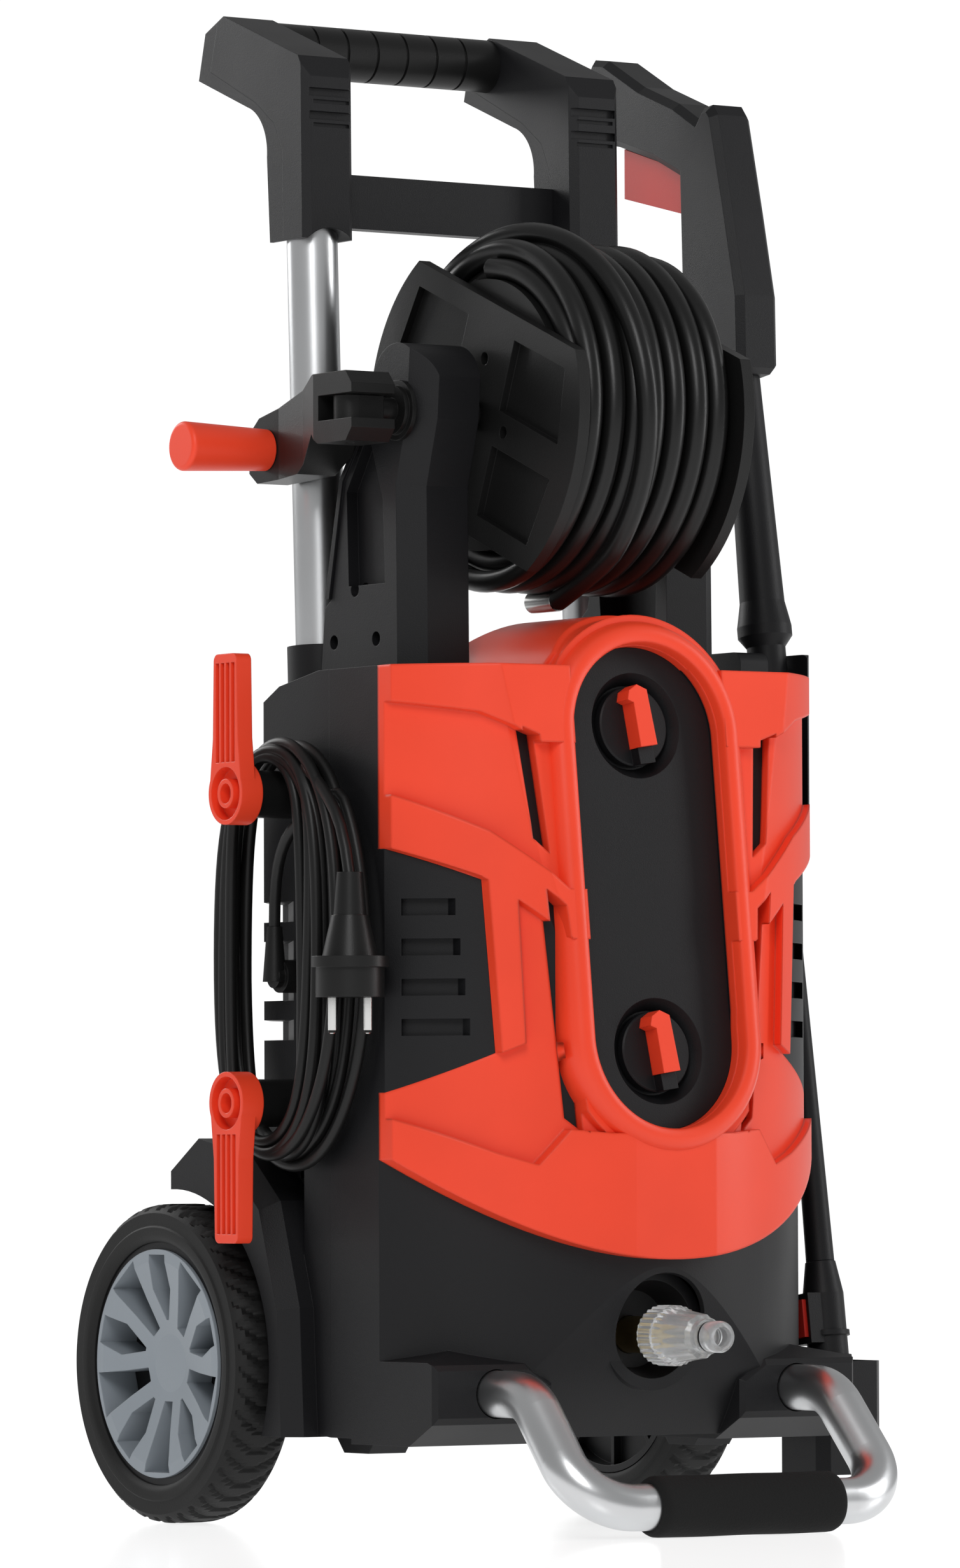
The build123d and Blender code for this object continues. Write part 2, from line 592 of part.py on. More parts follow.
# ---------------------------------------------------------------- water inlet
def inlet_connector():
    """Clear quick connector: knurled nut, ribbed cone, collar, groove and nozzle tip."""
    nut = [(0, 10), (0, 0), (14, 0), (16.5, 3), (16.5, 19), (14.5, 22)]
    cone = [(12, 42), (9.5, 43), (9.5, 47), (7.4, 47), (7.4, 50)]
    tip = [(INLET_TIP_RADIUS, 50), (INLET_TIP_RADIUS, 60), (5.5, 60)]
    bore = [(5.5, 24), (8, 10)]
    face = Plane.XY * Polygon(*nut, *cone, *tip, *bore, align=None)
    solid = revolve(face, axis=Axis.Y)
    return Pos(0, -240, INLET_Z) * Rot(0, 0, 180) * solid


def inlet_stub():
    return rod_y(10, -240, -153, 0, INLET_Z) + rod_y(16, -170, -153, 0, INLET_Z)


# ---------------------------------------------------------------- spray gun and lance
def lance_point(offset, station):
    """(Y, Z) of a point beside the lance's centre line."""
    lean = math.radians(LANCE_LEAN)
    y = LANCE_REF_Y + station * math.sin(lean) + offset * math.cos(lean)
    return y, LANCE_REF_Z + station * math.cos(lean) - offset * math.sin(lean)


def gun_body():
    """Pistol body with a slot that the trigger swings in and a bore for the trigger's pin."""
    outline = [(56, 829), (50, 838), (36, 836), (0, 817), (-34, 804), (-54, 793), (-59, 799), (-67, 800),
               (-72, 794), (-86, 737), (-97, 689), (-98, 648), lance_point(-13, 536), lance_point(13, 536),
               (-48, 664), (-38, 700), (-36, 762), (-12, 773), (26, 785), (48, 789), (60, 812)]
    body = prism_x(outline, LANCE_X - 14, LANCE_X + 14)
    body = chamfer(body.edges().group_by(Axis.X)[0] + body.edges().group_by(Axis.X)[-1], 4)
    slot = [(TRIGGER_Y, 733), (TRIGGER_Y, 766), (-14, 782), (20, 795), (34, 798), (34, 733)]
    body -= prism_x(slot, LANCE_X - TRIGGER_HALF - 0.6, LANCE_X + TRIGGER_HALF + 0.6)
    body -= rod_x(8.6, LANCE_X - TRIGGER_HALF - 0.6, LANCE_X + TRIGGER_HALF + 0.6, TRIGGER_Y, TRIGGER_Z)
    return body - rod_x(2.06, LANCE_X - 11, LANCE_X + 11, TRIGGER_Y, TRIGGER_Z)


def gun_trigger():
    """Curved finger lever with its hub and pin."""
    lever = [(TRIGGER_Y, TRIGGER_Z - 7), (-36, 732), (-31, 741), (27, 755), (27, 784), (-12, 772),
             (TRIGGER_Y, TRIGGER_Z + 7)]
    shape = prism_x(lever, LANCE_X - TRIGGER_HALF, LANCE_X + TRIGGER_HALF)
    shape += rod_x(7, LANCE_X - TRIGGER_HALF, LANCE_X + TRIGGER_HALF, TRIGGER_Y, TRIGGER_Z)
    return shape + rod_x(2, LANCE_X - 10, LANCE_X + 10, TRIGGER_Y, TRIGGER_Z)


def upright(radius, low, high):
    """Cylinder along the lance between two stations."""
    return Pos(0, 0, (low + high) / 2) * Cylinder(radius, high - low)


def upright_cone(low_radius, high_radius, low, high):
    return Pos(0, 0, (low + high) / 2) * Cone(low_radius, high_radius, high - low)


def lance_tube():
    """Tapering wand, a grip that the holster holds, a flared collar and a sleeve up to the gun."""
    tube = upright_cone(8, 5, 30.3, 262) + upright_cone(5, 11, 262, 276) + upright(11, 276, 380)
    tube += upright_cone(11, 15.5, 380, 386) + upright(15.5, 386, 392)
    tube += upright_cone(15.5, 12.8, 392, 406) + upright_cone(12.8, 10, 406, 536)
    return LANCE_FRAME * tube


def lance_nozzle():
    """Turning spray head with a pad for the release button."""
    head = upright(11.5, -44, 12) + upright_cone(11.5, 8.5, 12, 30)
    for low in (-26, -12):
        head += upright(13, low, low + 3)
    pad = Pos(-12, 0, -2) * Box(10, 17, 28)
    button_slot = Pos(-15.75, 0, -2) * Box(7.5, 12.6, 21.6)
    return LANCE_FRAME * (head + pad - button_slot)


def nozzle_button():
    return LANCE_FRAME * Pos(-16.9, 0, -2) * Box(5, 12, 21)


def lance_bucket():
    y = lance_y(78)
    outer = block(LANCE_X - 22, LANCE_X + 22, y - 22, y + 22, 24, 87)
    outer = chamfer(outer.edges().filter_by(Axis.Z), 6)
    inner = block(LANCE_X - 19.5, LANCE_X + 19.5, y - 19.5, y + 19.5, 28, 90)
    inner = chamfer(inner.edges().filter_by(Axis.Z), 5)
    bridge = block(HALF_WIDTH, LANCE_X - 20, y - 16, y + 16, 52, 80)
    return outer + bridge - inner


def lance_holster():
    """U-shaped clip on the right side, open to the front."""
    outer = block(HALF_WIDTH, 190, -126, -70, 384, 484)
    outer = chamfer(outer.edges().filter_by(Axis.Z).group_by(Axis.X)[-1], 5)
    outer = fillet(outer.edges().filter_by(Axis.X).group_by(Axis.Y)[0], 7)
    channel = block(158, 186.5, -160, -80, 370, 500)
    return outer - channel


# ---------------------------------------------------------------- inside
def motor_stator():
    can = rod_z(52, 130, 260, 0, -110)
    return can - rod_z(26, 125, 262, 0, -110)


def rotor_shaft():
    return rod_z(25, 140, 250, 0, -110) + rod_z(8, 118, 330, 0, -110)


def cooling_fan():
    hub = rod_z(14, 285, 305, 0, -110)
    for index in range(7):
        angle = 360 / 7 * index
        blade = Pos(0, -110, 295) * Rot(0, 0, angle) * Pos(26, 0, 0) * Rot(35, 0, 0) * Box(30, 3, 18)
        hub += blade
    return hub - rod_z(8, 280, 320, 0, -110)


def pump_head():
    return rod_z(42, 66, 116, 0, -110) + rod_y(10, -153, -110, 0, INLET_Z)


def switch_box():
    return block(-110, -70, -150, -105, 240, 300)


# ---------------------------------------------------------------- power cord
def cord_hank():
    """Outer shape of the cord wound over the two posts."""
    hole = Rectangle(48, 150) + Pos(0, 75) * Circle(24) + Pos(0, -75) * Circle(24)
    ring = Ellipse(75, 121) - Pos(14, 3) * hole
    hank = Pos(0, -112, 312) * extrude(Plane.YZ.offset(-166) * ring, amount=22, dir=(1, 0, 0))
    return hank - block(-200, -140, -220, -164.5, 262, 362)


def cord_relief():
    base = rod_x(9, -149, -HALF_WIDTH, -95, 300)
    boot = Pos(-152, -95, 312) * Cone(6.5, 4.2, 30)
    return base + boot + rod_x(6.5, -153, -145, -95, 300)


LEAD_IN = [(-152, -95, 327), (-152, -95, 350), (-155, -108, 372), (-155, -126, 385)]
TAIL = [(-158, -138, 412), (-160, -160, 397), (-162, -180, 377), (-163, -187, 351)]


def cord_run(points):
    """Round cord along straight runs joined by tangent arcs as large as the runs allow."""
    vectors = [Vector(*point) for point in points]
    radii = []
    for before, corner, after in zip(vectors, vectors[1:], vectors[2:]):
        turn = (corner - before).get_angle(after - corner)
        shorter = min((corner - before).length, (after - corner).length)
        radii.append(0.45 * shorter / math.tan(math.radians(turn / 2)))
    print("cord radii", [round(radius, 1) for radius in radii])
    path = FilletPolyline(*points, radius=radii)
    return sweep(Plane(path @ 0, z_dir=path % 0) * Circle(CORD_DIAMETER / 2), path=path)


def power_cord():
    return [cord_run(LEAD_IN), cord_run(TAIL)]


def power_plug():
    """Two-pin earthed plug hanging pins down, with a ribbed neck."""
    centre = Pos(-163, -187, 0)
    body = centre * rod_z(18.5, 287, 304, 0, 0)
    body += centre * rod_z(21, 303, 309, 0, 0)
    body += centre * Pos(0, 0, 320) * Cone(15, 10, 22)
    body += centre * Pos(0, 0, 342) * Cone(9, 7, 24)
    for side in (-1, 1):
        x = side * 9.5 * math.cos(math.radians(34))
        y = -side * 9.5 * math.sin(math.radians(34))
        body += centre * rod_z(2.4, 268, 288, x, y)
    return body


NODES = {
    "front_shell": front_shell,
    "rear_shell": rear_shell,
    "front_fascia": front_fascia,
    "control_panel": control_panel,
    "under_feet": under_feet,
    "hook_posts": hook_posts,
    "leg_tube": leg_tube,
    "foam_grip": foam_grip,
    "tube_collars": tube_collars,
    "reel_arm_left": lambda: reel_arm(-1),
    "reel_arm_right": lambda: reel_arm(1),
    "arm_screws": arm_screws,
    "wheel_axle": wheel_axle,
    "lance_bucket": lance_bucket,
    "lance_holster": lance_holster,
    "inlet_stub": inlet_stub,
    "inlet_connector": inlet_connector,
    "motor_stator": motor_stator,
    "pump_head": pump_head,
    "switch_box": switch_box,
    "rotor_shaft": rotor_shaft,
    "cooling_fan": cooling_fan,
    "right_rim": wheel_core,
    "right_wheel_cover": wheel_cover,
    "right_tyre": tyre,
    "left_rim": lambda: mirrored(wheel_core()),
    "left_wheel_cover": lambda: mirrored(wheel_cover()),
    "left_tyre": lambda: mirrored(tyre()),
    "handle_tube_left": lambda: handle_tube(-1),
    "handle_tube_right": lambda: handle_tube(1),
    "handle_head_left_front": lambda: handle_head(-1, True),
    "handle_head_left_rear": lambda: handle_head(-1, False),
    "handle_head_right_front": lambda: handle_head(1, True),
    "handle_head_right_rear": lambda: handle_head(1, False),
    "handle_grip_bar": handle_grip_bar,
    "handle_crossbar": handle_crossbar,
    "reel_flange_left": lambda: flange(-1),
    "reel_flange_right": lambda: flange(1),
    "reel_drum": reel_drum,
    "reel_spindle": reel_spindle,
    "reel_hose": reel_coil,
    "hose_fitting": hose_fitting,
    "crank_arm": crank_arm,
    "crank_pin": crank_pin,
    "crank_grip": crank_grip,
    "upper_knob": lambda: knob(1),
    "upper_knob_pointer": lambda: knob_pointer(1),
    "lower_knob": lambda: knob(-1),
    "lower_knob_pointer": lambda: knob_pointer(-1),
    "upper_cord_hook": lambda: cord_hook(399, True),
    "lower_cord_hook": lambda: cord_hook(231, False),
    "gun_body": gun_body,
    "gun_trigger": gun_trigger,
    "lance_tube": lance_tube,
    "lance_nozzle": lance_nozzle,
    "nozzle_button": nozzle_button,
    "cord_relief": cord_relief,
    "cord_hank": cord_hank,
    "power_cord": power_cord,
    "power_plug": power_plug,
}

CORD_NODES = ("reel_hose", "hose_fitting", "cord_hank", "power_cord", "power_plug")


def assemble():
    """Every node's shape, moved so that the origin is the middle of the footprint on the floor."""
    shapes = {}
    for name, make in NODES.items():
        made = make()
        shapes[name] = Compound(children=made) if isinstance(made, list) else made
    boxes = [shape.bounding_box() for name, shape in shapes.items() if name not in CORD_NODES]
    low_x, high_x = min(box.min.X for box in boxes), max(box.max.X for box in boxes)
    low_y, high_y = min(box.min.Y for box in boxes), max(box.max.Y for box in boxes)
    shift = Pos(-(low_x + high_x) / 2, -(low_y + high_y) / 2, -min(box.min.Z for box in boxes))
    print("origin shift", [round(value, 4) for value in tuple(shift.position)])
    return {name: shift * shape for name, shape in shapes.items()}


if __name__ == "__main__":
    os.makedirs("parts", exist_ok=True)
    for name, shape in assemble().items():
        export_step(shape, f"parts/{name}.step")
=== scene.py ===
import math

import bmesh
import bpy
from mathutils import Matrix, Vector


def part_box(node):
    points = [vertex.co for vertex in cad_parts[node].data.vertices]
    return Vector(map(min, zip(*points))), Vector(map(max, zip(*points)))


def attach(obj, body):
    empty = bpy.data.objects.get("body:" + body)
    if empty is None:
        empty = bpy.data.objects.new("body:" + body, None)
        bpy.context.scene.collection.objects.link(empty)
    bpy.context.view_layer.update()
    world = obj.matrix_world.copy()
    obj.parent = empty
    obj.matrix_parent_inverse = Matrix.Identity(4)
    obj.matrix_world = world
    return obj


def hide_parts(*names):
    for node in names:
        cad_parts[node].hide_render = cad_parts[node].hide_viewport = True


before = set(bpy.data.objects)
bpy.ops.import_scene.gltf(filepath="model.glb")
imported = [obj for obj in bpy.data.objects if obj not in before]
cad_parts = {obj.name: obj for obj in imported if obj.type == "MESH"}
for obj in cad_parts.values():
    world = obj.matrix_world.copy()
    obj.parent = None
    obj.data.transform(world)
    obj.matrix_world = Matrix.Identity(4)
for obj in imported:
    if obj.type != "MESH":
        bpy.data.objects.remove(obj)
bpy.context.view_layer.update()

# Upright electric pressure washer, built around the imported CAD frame.
# Sizes are millimetres in the machine's own frame: X = 0 is its middle, Y = 0 is the wheel
# axle with the front towards -Y, and Z = 0 is the floor. at() turns them into row metres.
MM = 0.001
AXLE_LOW, AXLE_HIGH = (Vector(corner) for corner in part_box("wheel_axle"))
AXLE_Z = 88.0
ORIGIN = (AXLE_LOW + AXLE_HIGH) / 2 - Vector((0, 0, AXLE_Z)) * MM


def at(x, y, z):
    """A point of the machine's frame, in row metres."""
    return ORIGIN + Vector((x, y, z)) * MM


# ---------------------------------------------------------------- camera, stage and light
def make_camera():
    """Long lens, low and to the left of the machine's front, looking slightly up."""
    yaw = math.radians(34.0)
    pitch = math.radians(2.409)
    roll = math.radians(0.2)
    forward = Vector((math.sin(yaw) * math.cos(pitch), math.cos(yaw) * math.cos(pitch), math.sin(pitch)))
    level = Vector((math.cos(yaw), -math.sin(yaw), 0))
    above = level.cross(forward)
    right = level * math.cos(roll) - above * math.sin(roll)
    up = above * math.cos(roll) + level * math.sin(roll)
    data = bpy.data.cameras.new("camera")
    data.sensor_width = 36.0
    data.lens = 197.24
    data.clip_end = 50.0
    camera = bpy.data.objects.new("camera", data)
    axes = Matrix((right, up, -forward)).transposed()
    camera.matrix_world = Matrix.Translation(at(-2674.9, -4035.9, 207.6)) @ axes.to_4x4()
    bpy.context.collection.objects.link(camera)
    bpy.context.scene.camera = camera


def area_light(name, place, target, size, power):
    data = bpy.data.lights.new(name, "AREA")
    data.shape = "RECTANGLE"
    data.size, data.size_y = size
    data.energy = power
    light = bpy.data.objects.new(name, data)
    light.location = place
    light.rotation_euler = (Vector(target) - Vector(place)).to_track_quat("-Z", "Y").to_euler()
    bpy.context.collection.objects.link(light)


def make_floor():
    """White sweep: floor and background merge, and the floor keeps a faint contact shadow."""
    mesh = bpy.data.meshes.new("floor")
    half = 20.0
    corners = [(-half, -half, 0), (half, -half, 0), (half, half, 0), (-half, half, 0)]
    mesh.from_pydata(corners, [], [(0, 1, 2, 3)])
    plane = bpy.data.objects.new("floor", mesh)
    bpy.context.collection.objects.link(plane)
    material = bpy.data.materials.new("stage_floor")
    material.use_nodes = True
    shader = material.node_tree.nodes["Principled BSDF"]
    shader.inputs["Base Color"].default_value = (0.4, 0.4, 0.4, 1)
    shader.inputs["Roughness"].default_value = 0.14
    shader.inputs["Emission Color"].default_value = (1.0, 1.0, 1.0, 1)
    shader.inputs["Emission Strength"].default_value = 0.78
    mesh.materials.append(material)


def make_world():
    """White to the eye, dimmer as a light source so that the blacks stay deep."""
    world = bpy.data.worlds.new("studio")
    world.use_nodes = True
    nodes = world.node_tree.nodes
    links = world.node_tree.links
    background = nodes["Background"]
    background.inputs["Color"].default_value = (1.0, 1.0, 1.0, 1)
    path = nodes.new("ShaderNodeLightPath")
    level = nodes.new("ShaderNodeMix")
    level.inputs[2].default_value = 0.38
    level.inputs[3].default_value = 1.05
    links.new(path.outputs["Is Camera Ray"], level.inputs[0])
    links.new(level.outputs[0], background.inputs["Strength"])
    bpy.context.scene.world = world
    bpy.context.scene.view_settings.view_transform = "Standard"


def make_stage():
    make_floor()
    make_world()
    area_light("key", (-1.6, -2.0, 2.0), (0, 0, 0.4), (0.9, 1.4), 34)
    area_light("fill", (2.0, -1.2, 1.0), (0, 0, 0.4), (0.5, 1.6), 16)
    area_light("back", (-0.6, 2.2, 1.5), (0, 0, 0.5), (1.2, 1.2), 20)


# ---------------------------------------------------------------- materials
def surface(name, color, roughness, grain, height, spread=0.08, edge=0.5, **sockets):
    """Procedural finish: fine bump, uneven roughness, slight colour drift and softened edges.

    grain is the bump's number of cells per metre, height its depth and edge the soft edge's
    radius in millimetres. sockets are further inputs of the shader, set directly.
    """
    material = bpy.data.materials.new(name)
    material.use_nodes = True
    nodes = material.node_tree.nodes
    links = material.node_tree.links
    shader = nodes["Principled BSDF"]
    coordinates = nodes.new("ShaderNodeTexCoord")
    fine = nodes.new("ShaderNodeTexNoise")
    fine.inputs["Scale"].default_value = grain
    fine.inputs["Detail"].default_value = 3.0
    broad = nodes.new("ShaderNodeTexNoise")
    broad.inputs["Scale"].default_value = 14.0
    broad.inputs["Detail"].default_value = 4.0
    for noise in (fine, broad):
        links.new(coordinates.outputs["Object"], noise.inputs["Vector"])
    rough = nodes.new("ShaderNodeMapRange")
    rough.inputs["To Min"].default_value = roughness - spread
    rough.inputs["To Max"].default_value = roughness + spread
    links.new(broad.outputs["Fac"], rough.inputs["Value"])
    links.new(rough.outputs["Result"], shader.inputs["Roughness"])
    tint = nodes.new("ShaderNodeMix")
    tint.data_type = "RGBA"
    tint.inputs[6].default_value = (*[value * 0.9 for value in color], 1)
    tint.inputs[7].default_value = (*[min(1.0, value * 1.1) for value in color], 1)
    links.new(broad.outputs["Fac"], tint.inputs[0])
    links.new(tint.outputs[2], shader.inputs["Base Color"])
    soft = nodes.new("ShaderNodeBevel")
    soft.samples = 4
    soft.inputs["Radius"].default_value = edge * MM
    bump = nodes.new("ShaderNodeBump")
    bump.inputs["Strength"].default_value = 0.6
    bump.inputs["Distance"].default_value = height * MM
    links.new(fine.outputs["Fac"], bump.inputs["Height"])
    links.new(soft.outputs["Normal"], bump.inputs["Normal"])
    links.new(bump.outputs["Normal"], shader.inputs["Normal"])
    for socket, value in sockets.items():
        shader.inputs[socket.replace("_", " ")].default_value = value
    return material


ORANGE_COLOR = (0.82, 0.056, 0.02)
BLACK = surface("black_plastic", (0.007, 0.007, 0.008), 0.46, 1500, 0.12, Specular_IOR_Level=0.24)
DARK = surface("reel_plastic", (0.006, 0.006, 0.006), 0.4, 1300, 0.1, Specular_IOR_Level=0.25)
ORANGE = surface("orange_plastic", ORANGE_COLOR, 0.4, 1500, 0.06, 0.06, 0.9, Specular_IOR_Level=0.35)
FASCIA = surface("fascia_orange", ORANGE_COLOR, 0.36, 1500, 0.06, 0.06, 2.2, Specular_IOR_Level=0.35)
RED = surface("red_plastic", (0.5, 0.02, 0.012), 0.36, 1500, 0.06, Specular_IOR_Level=0.35)
ALUMINIUM = surface("anodised_aluminium", (0.62, 0.63, 0.64), 0.3, 2500, 0.03, 0.05, Metallic=1.0)
FOAM = surface("eva_foam", (0.008, 0.008, 0.008), 0.85, 700, 0.5, Specular_IOR_Level=0.2)
STEEL = surface("plated_steel", (0.62, 0.62, 0.61), 0.22, 1800, 0.02, 0.06, Metallic=1.0)
LAMINATE = surface("laminated_steel", (0.2, 0.2, 0.21), 0.5, 1800, 0.06, Metallic=1.0)
BRASS = surface("brass", (0.72, 0.53, 0.22), 0.28, 1800, 0.02, Metallic=1.0)
CASTING = surface("die_casting", (0.5, 0.5, 0.5), 0.5, 900, 0.1, Metallic=1.0)
GREY = surface("wheel_grey", (0.25, 0.28, 0.31), 0.42, 1400, 0.08, 0.08, 0.8, Specular_IOR_Level=0.35)
TYRE = surface("tyre_rubber", (0.009, 0.009, 0.009), 0.6, 1100, 0.15, Specular_IOR_Level=0.25)
HOSE = surface("hose_rubber", (0.006, 0.006, 0.006), 0.34, 1400, 0.08, 0.07, Specular_IOR_Level=0.3)
CORD = surface("cord_rubber", (0.006, 0.006, 0.006), 0.4, 1600, 0.06, Specular_IOR_Level=0.28)
CLEAR = surface(
    "clear_polycarbonate", (0.9, 0.93, 0.95), 0.14, 1200, 0.04, 0.05, 0.3, Transmission_Weight=0.82
)

CAD_FINISH = {
    BLACK: [
        "front_shell", "rear_shell", "under_feet", "tube_collars", "reel_arm_left", "reel_arm_right",
        "lance_bucket", "lance_holster", "switch_box", "handle_head_left_front", "handle_head_left_rear",
        "handle_head_right_front", "handle_head_right_rear", "handle_crossbar", "gun_body", "lance_tube",
        "lance_nozzle", "control_panel", "upper_knob", "lower_knob", "left_rim", "right_rim",
    ],
    DARK: [
        "hook_posts", "reel_flange_left", "reel_flange_right", "reel_drum", "reel_spindle", "crank_arm",
        "cooling_fan", "cord_relief", "handle_grip_bar",
    ],
    FASCIA: ["front_fascia"],
    ORANGE: ["crank_grip", "upper_knob_pointer", "lower_knob_pointer", "upper_cord_hook", "lower_cord_hook"],
    RED: ["gun_trigger", "nozzle_button"],
    ALUMINIUM: ["leg_tube", "handle_tube_left", "handle_tube_right"],
    FOAM: ["foam_grip"],
    STEEL: ["arm_screws", "wheel_axle", "crank_pin", "rotor_shaft", "hose_fitting"],
    LAMINATE: ["motor_stator"],
    BRASS: ["inlet_stub"],
    CASTING: ["pump_head"],
    CLEAR: ["inlet_connector"],
    GREY: ["left_wheel_cover", "right_wheel_cover"],
    TYRE: ["left_tyre", "right_tyre"],
    HOSE: ["reel_hose"],
    CORD: ["cord_hank", "power_cord", "power_plug"],
}


def finish_cad_nodes():
    for material, names in CAD_FINISH.items():
        for name in names:
            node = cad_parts[name]
            for slot in node.material_slots:
                slot.material = material


# ---------------------------------------------------------------- cords
def cord_curve(name, points, diameter, material):
    """Round cord along an open curve through the points, which are in the machine's frame."""
    data = bpy.data.curves.new(name, "CURVE")
    data.dimensions = "3D"
    data.bevel_depth = diameter / 2 * MM
    data.bevel_resolution = 5
    data.resolution_u = 3
    data.use_fill_caps = True
    spline = data.splines.new("NURBS")
    spline.points.add(len(points) - 1)
    for place, point in zip(spline.points, points):
        place.co = (*at(*point), 1)
    spline.order_u = 3
    spline.use_endpoint_u = True
    data.materials.append(material)
    cord = bpy.data.objects.new(name, data)
    bpy.context.collection.objects.link(cord)
    return cord


HOSE_DIAMETER = 12.0
REEL_Y = -150.0
REEL_Z = 607.0
LAYER_RADII = (80.7, 91.6, 101.4)
LAYER_TURNS = 7
LOOSE_TURNS = 0.5
HOSE_EDGE = 44.5
CROSSING = 34.5
WANDER = 0.9
STEPS = 32
FITTING_END = (-10, REEL_Y - 12, 506)


def smooth(value):
    value = max(0.0, min(1.0, value))
    return value * value * (3 - 2 * value)


def hose_points():
    """Two full layers on the drum, then a loose half turn that ends below the coil."""
    points = []
    total = 2 * LAYER_TURNS + LOOSE_TURNS
    count = int(total * STEPS)
    for step in range(count + 1):
        turns = step / STEPS
        up = smooth((turns - LAYER_TURNS + 0.2) / 0.4)
        radius = LAYER_RADII[0] + (LAYER_RADII[1] - LAYER_RADII[0]) * up
        last = smooth((turns - 2 * LAYER_TURNS + 0.45) / 0.35)
        radius += (LAYER_RADII[2] - LAYER_RADII[1]) * last
        if turns <= LAYER_TURNS:
            x = -HOSE_EDGE + 2 * HOSE_EDGE * turns / LAYER_TURNS
        else:
            x = HOSE_EDGE - 2 * HOSE_EDGE * min(1, (turns - LAYER_TURNS) / (LAYER_TURNS - 0.5))
        x += CROSSING * smooth((turns - 2 * LAYER_TURNS + 0.4) / 0.75)
        wander = WANDER * math.sin(1.7 * turns + 0.6) * up * (1 - last)
        angle = 2 * math.pi * turns
        y = REEL_Y - radius * math.sin(angle)
        z = REEL_Z + radius * math.cos(angle)
        points.append((x + wander, y, z))
    return points[:-3] + [FITTING_END]


def make_hose():
    points = hose_points()
    hose = cord_curve("wound_hose", points, HOSE_DIAMETER, HOSE)
    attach(hose, "reel")
    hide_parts("reel_hose")


CORD_DIAMETER = 6.4
LEAD_IN = [(-152, -95, 327), (-152, -95, 350), (-155, -108, 372), (-155, -126, 385)]
TAIL = [(-158, -138, 412), (-160, -160, 397), (-162, -180, 377), (-163, -187, 351)]
HANK_Y = -112.0
HANK_Z = 312.0
HANK_LOOPS = 9
HANK_STEPS = 28
HANK_START = 2.05
HANK_DEEPEST = -163
HANK_DEPTH = 16


def hank_loop(share, angle):
    """(Y, Z) on a loop between the posts' stadium (share 0) and the hank's outline (share 1)."""
    side = math.cos(angle)
    rise = math.sin(angle)
    outer_y = HANK_Y + 71 * side
    outer_z = HANK_Z + 117 * rise
    inner_y = HANK_Y + 14 + 28 * side
    inner_z = HANK_Z + 3 + 76 * math.tanh(3 * rise) + 27 * rise
    return inner_y + share * (outer_y - inner_y), inner_z + share * (outer_z - inner_z)


def cord_points():
    """From the housing into uneven loops over both posts, then up and round to the plug."""
    points = list(LEAD_IN)
    count = int(HANK_LOOPS * HANK_STEPS - HANK_STEPS * 0.06)
    for step in range(1, count):
        turns = step / HANK_STEPS
        angle = HANK_START + 2 * math.pi * turns
        share = 0.5 + 0.46 * math.sin(2.4 * turns + 0.8) * math.cos(0.35 * turns)
        depth = HANK_DEEPEST + HANK_DEPTH * (0.5 + 0.5 * math.cos(math.pi * turns / 1.5))
        y, z = hank_loop(share, angle)
        points.append((depth, y, z))
    return points + TAIL


def make_power_cord():
    points = cord_points()
    cord = cord_curve("power_lead", points, CORD_DIAMETER, CORD)
    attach(cord, "housing")
    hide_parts("cord_hank", "power_cord")


# ---------------------------------------------------------------- turned pieces
def ring_faces(count, size):
    """Quads that join count equal loops of size points into a closed ring."""
    faces = []
    for step in range(count):
        here, after = step * size, (step + 1) % count * size
        for point in range(size):
            following = (point + 1) % size
            faces.append((here + point, here + following, after + following, after + point))
    return faces


def turned(name, profile, centre, axis, segments, material, dent=None):
    """Closed turned mesh. profile is a loop of (station along the axis, radius) in millimetres.

    axis is "X", "Y" or "Z". dent(angle, station, radius) gives a depth to take off the radius.
    """
    vertices = []
    for step in range(segments):
        angle = 2 * math.pi * step / segments
        for station, radius in profile:
            reach = radius - (dent(angle, station, radius) if dent else 0)
            across, rise = reach * math.cos(angle), reach * math.sin(angle)
            offset = {
                "X": (station, across, rise),
                "Y": (across, station, rise),
                "Z": (across, rise, station),
            }[axis]
            vertices.append(at(centre[0] + offset[0], centre[1] + offset[1], centre[2] + offset[2]))
    faces = ring_faces(segments, len(profile))
    return smooth_piece(name, vertices, faces, material)


def smooth_piece(name, vertices, faces, material):
    """Closed mesh object, smooth but for its sharp corners."""
    mesh = bpy.data.meshes.new(name)
    mesh.from_pydata(vertices, [], faces)
    shell = bmesh.new()
    shell.from_mesh(mesh)
    bmesh.ops.recalc_face_normals(shell, faces=shell.faces)
    shell.to_mesh(mesh)
    shell.free()
    mesh.shade_smooth()
    mesh.set_sharp_from_angle(angle=math.radians(32))
    mesh.materials.append(material)
    piece = bpy.data.objects.new(name, mesh)
    bpy.context.collection.objects.link(piece)
    return piece


FOAM_HALF = 60.0
FOAM_RADIUS = 16.5
LEG_Y = -316.0


def make_foam():
    """Foam sleeve on the front bar, with soft ends and a slightly uneven skin."""
    profile = [
        (-FOAM_HALF, 12.6), (-FOAM_HALF, 14.0), (-FOAM_HALF + 1, 15.4), (-FOAM_HALF + 3, FOAM_RADIUS - 0.2),
    ]
    profile += [(-54 + 9 * step, FOAM_RADIUS) for step in range(13)]
    profile += [(-station, radius) for station, radius in reversed(profile[:4])]
    sleeve = turned("foam_sleeve", profile, (0, LEG_Y, FOAM_RADIUS), "X", 64, FOAM,
                    lambda angle, station, radius: 0.12 + 0.12 * math.sin(3 * angle + station / 9))
    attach(sleeve, "housing")
    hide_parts("foam_grip")


